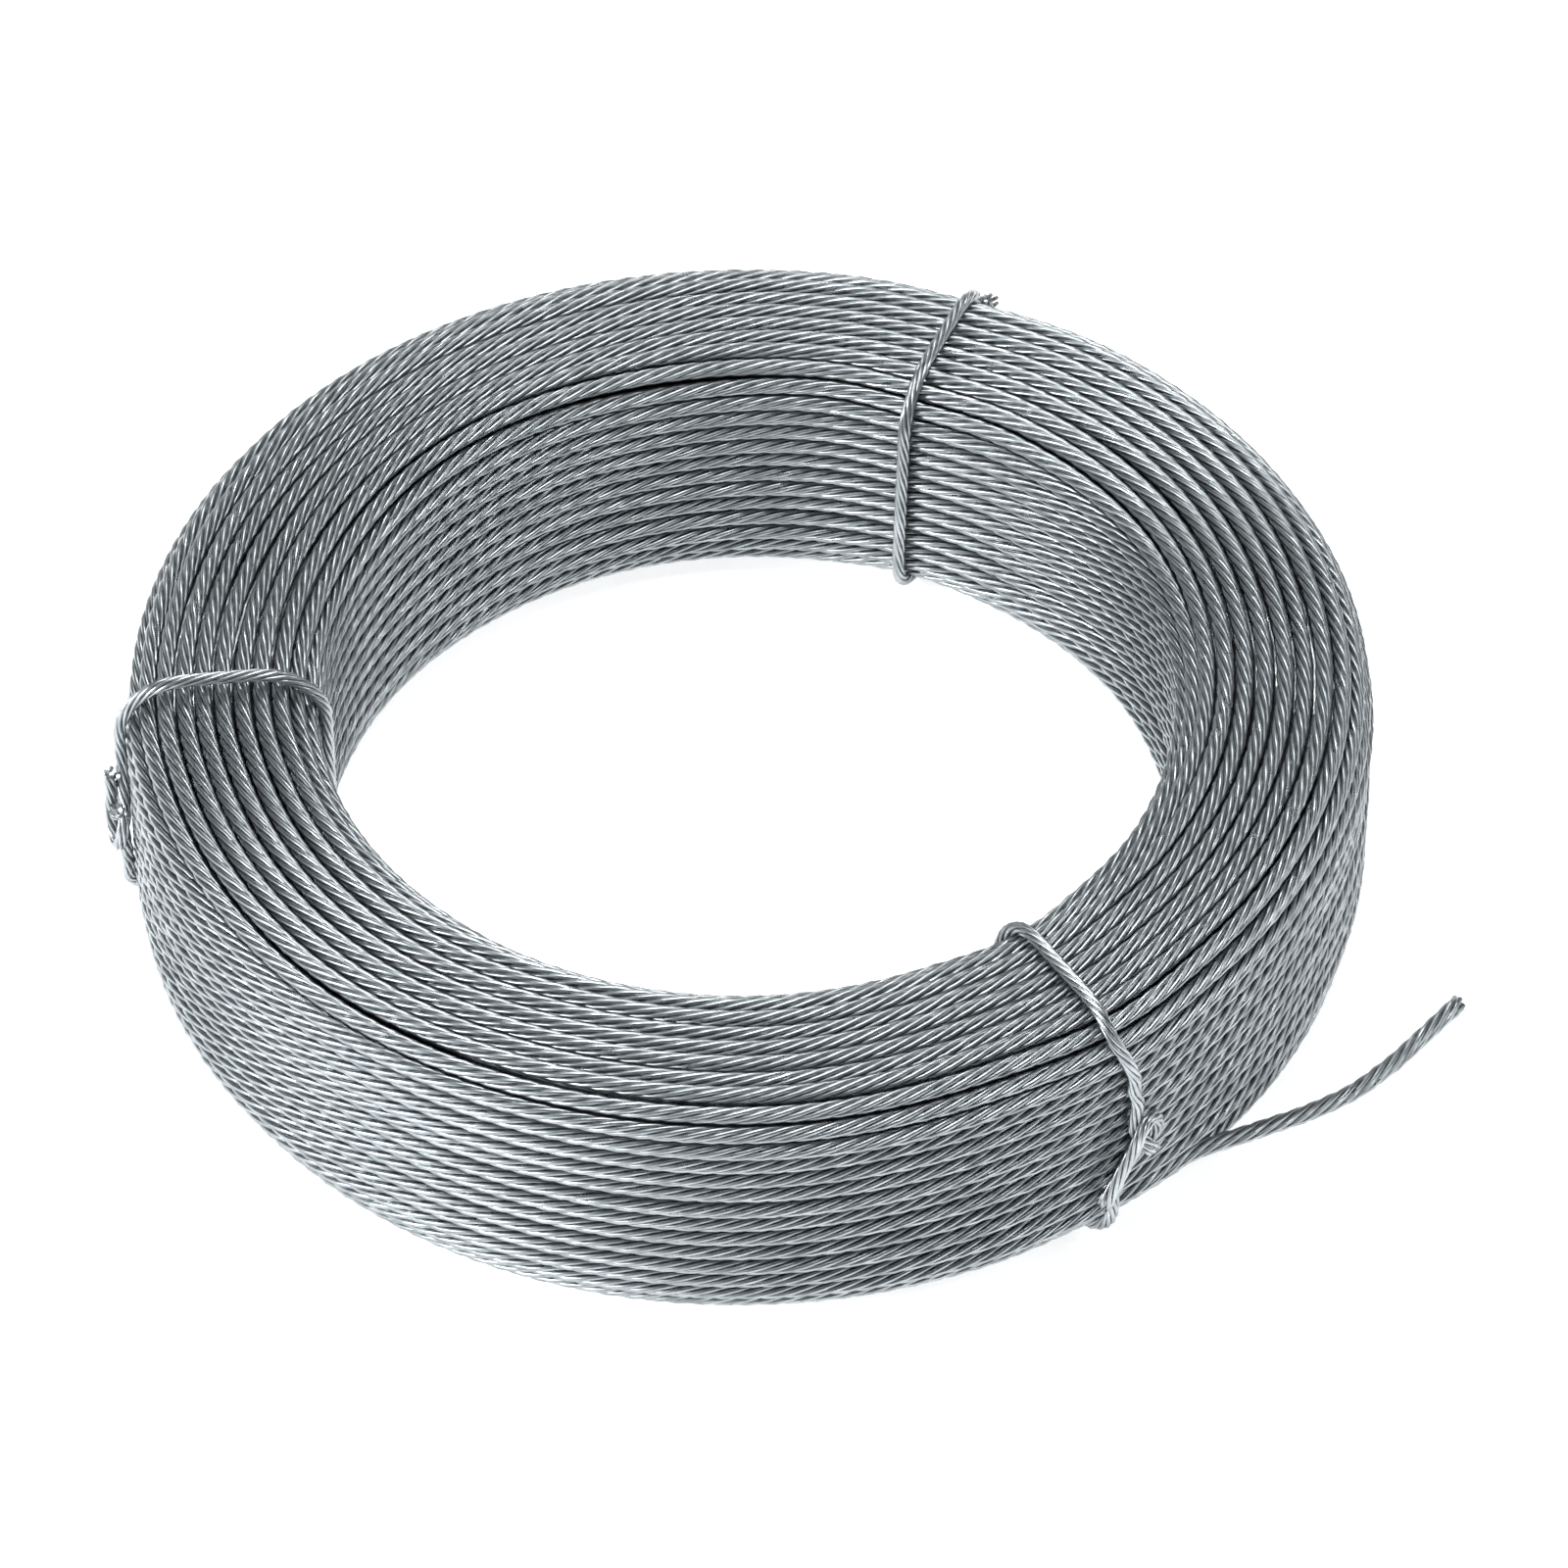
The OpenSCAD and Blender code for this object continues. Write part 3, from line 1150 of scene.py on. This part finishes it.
@dataclass(frozen=True)
class Studio:
    """The plain pale room: floor, lamps, light from around, and the camera.

    Attributes:
        camera_place: Where the camera stands.
        camera_aim: The way that it looks.
        camera_lens: Its focal length in millimetres.
        camera_sensor: Width of its sensor in millimetres.
        camera_reach: The nearest and the farthest that it sees.
        floor_size: Width of the floor.
        floor_colour: Colour of the floor.
        floor_roughness: Roughness of the floor.
        floor_glow: How much the floor shines by itself where it is seen.
        lamps: The lamps.
        around: Light from around: the colour up to one height, and from another on.
    """

    camera_place: tuple[float, float, float] = (0.0, -0.6960, 0.7032)
    camera_aim: tuple[float, float, float] = (0.0039, 0.7107, -0.7035)
    camera_lens: float = 202.0
    camera_sensor: float = 36.0
    camera_reach: tuple[float, float] = (0.01, 100.0)
    floor_size: float = 40.0
    floor_colour: tuple[float, ...] = (0.85, 0.86, 0.87, 1.0)
    floor_roughness: float = 0.9
    floor_glow: float = 0.78
    lamps: tuple[Lamp, ...] = (
        Lamp("left_lamp", (-1.1, -0.5, 0.6), 18.0, 0.4, 0.4),
        Lamp("right_lamp", (1.2, -0.1, 0.8), 3.0, 0.35, 0.35),
        Lamp("back_lamp", (0.1, 1.1, 1.2), 9.0, 0.7, 0.3),
        Lamp("hole_lamp", (0.0, -0.05, 0.5), 1.8, 0.24, 0.24),
    )
    around: tuple[tuple[float, tuple[float, ...]], ...] = (
        (0.1, WHITE),
        (0.3, (0.1, 0.106, 0.112, 1.0)),
    )

    def set_camera(self) -> None:
        """Sets up the camera."""
        data = bpy.data.cameras.new("camera")
        data.sensor_width = self.camera_sensor
        data.lens = self.camera_lens
        data.clip_start, data.clip_end = self.camera_reach
        camera = add_object("camera", data)
        camera.location = self.camera_place
        aim = Vector(self.camera_aim)
        camera.rotation_euler = aim.to_track_quat("-Z", "Y").to_euler()
        bpy.context.scene.camera = camera

    def lay_floor(self) -> None:
        """Lays the floor, which shows white and keeps the object's soft shadow."""
        bpy.ops.object.select_all(action="DESELECT")
        bpy.ops.mesh.primitive_plane_add(size=self.floor_size)
        floor = bpy.context.object
        floor.name = "floor"
        made = bpy.data.materials.new("pale_floor")
        made.use_nodes = True
        tree = made.node_tree
        rays = add_node(tree, "LightPath", {}).outputs
        seen = rays["Is Camera Ray"]
        for kind in ("Is Glossy Ray", "Is Transmission Ray"):
            seen = add_node(tree, "Math", {0: seen, 1: rays[kind]}, operation="ADD").outputs[0]
        glow = add_node(tree, "Math", {0: seen, 1: self.floor_glow}, operation="MULTIPLY")
        shader = tree.nodes["Principled BSDF"]
        shader.inputs["Base Color"].default_value = self.floor_colour
        shader.inputs["Roughness"].default_value = self.floor_roughness
        shader.inputs["Specular IOR Level"].default_value = 0.0
        shader.inputs["Emission Color"].default_value = WHITE
        tree.links.new(glow.outputs[0], shader.inputs["Emission Strength"])
        floor.data.materials.append(made)

    def light(self) -> None:
        """Hangs the lamps and sets the light from around."""
        for lamp in self.lamps:
            lamp.hang()
        world = bpy.data.worlds.new("room")
        bpy.context.scene.world = world
        world.use_nodes = True
        tree = world.node_tree
        way = add_node(tree, "TexCoord", {}).outputs["Generated"]
        height = add_node(tree, "SeparateXYZ", {"Vector": way}).outputs["Z"]
        ramp = add_node(tree, "ValToRGB", {"Fac": height})
        for element, (level, colour) in zip(ramp.color_ramp.elements, self.around):
            element.position = level
            element.color = colour
        tree.links.new(ramp.outputs["Color"], tree.nodes["Background"].inputs["Color"])


def read_section(tie_angles: tuple[float, ...]) -> RingSection:
    """Reads the ring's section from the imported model.

    Args:
        tie_angles: Angles of the ties round the ring.

    Returns:
        The section.
    """
    low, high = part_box("coil")
    corners = np.array([v.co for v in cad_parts["coil"].data.vertices])
    hole = float(np.hypot(corners[:, 0], corners[:, 1]).min())
    return RingSection(hole, -low.y, low.z, high.z, tie_angles)


def design() -> tuple[WireRope, tuple[WireTie, ...]]:
    """Puts the object's sizes together.

    Returns:
        The rope and the ties, not yet built.
    """
    front, back, left = (math.radians(angle) for angle in (-55, 67, 186))
    section = read_section((front, back, left))
    rope = WireRope(
        section=section,
        tail_angle=math.radians(-48),
        tail_height=5.5 * MM,
        tail_route=(
            millimetres(12, -1.7, 3.7),
            millimetres(15, -2.1, 3.0),
            millimetres(18, -2.4, 2.3),
            millimetres(21, -2.6, 1.7),
            millimetres(24, -2.7, 1.1),
            millimetres(27, -2.6, 0.7),
            millimetres(30, -2.3, 0.4),
            millimetres(32, -2.1, 0.2),
            millimetres(34, -1.8, 0.1),
        ),
        end_turn=math.radians(8),
        end_length=10 * MM,
        lay=Lay(diameter=2 * MM, lay_length=15 * MM, flare=0.12),
    )
    tie_lay = Lay(diameter=1.5 * MM, lay_length=12 * MM, rings_per_lay=14, flare=0.45)
    ties = (
        WireTie(
            name="tie_front",
            angle=front,
            knot_height=17.4 * MM,
            knot=HookKnot(KnotHand.END_DOWN, end_step=(-0.1, -1.15, -2.25)),
            knot_along=2.0 * MM,
            lean=millimetres(-0.8, 0.4, -2.0, -1.3),
            lift=0.2 * MM,
            section=section,
            lay=tie_lay,
        ),
        WireTie(
            name="tie_back",
            angle=back,
            knot_height=22.2 * MM,
            knot=HookKnot(KnotHand.END_UP, end_step=(-0.1, -0.9, -2.2)),
            knot_along=4.0 * MM,
            lean=millimetres(0.2, 0.4, 1.2, 1.5),
            lift=0.2 * MM,
            section=section,
            lay=tie_lay,
        ),
        WireTie(
            name="tie_left",
            angle=left,
            knot_height=17.3 * MM,
            knot=HookKnot(KnotHand.END_UP, end_step=(-0.1, 0.1, -1.8)),
            knot_along=0.8 * MM,
            lean=millimetres(-2.6, -2.6, -3.2, -3.4),
            lift=0.8 * MM,
            section=section,
            lay=tie_lay,
        ),
    )
    return rope, ties


def main() -> None:
    """Builds the coil and the studio round it."""
    logging.basicConfig(level=logging.INFO, format="%(name)s: %(message)s")
    bpy.context.scene.view_settings.view_transform = "Standard"
    studio = Studio()
    studio.set_camera()
    rope_finish = GalvanisedSteel("galvanised_rope", (0.41, 0.442, 0.456), (0.18, 0.199, 0.21))
    tie_finish = GalvanisedSteel("galvanised_tie", (0.48, 0.512, 0.526), (0.25, 0.271, 0.283))
    rope, ties = design()
    rope.build(rope_finish.material())
    tie_material = tie_finish.material()
    for tie in ties:
        tie.build(tie_material)
    studio.lay_floor()
    studio.light()


if __name__ == "__main__":
    main()
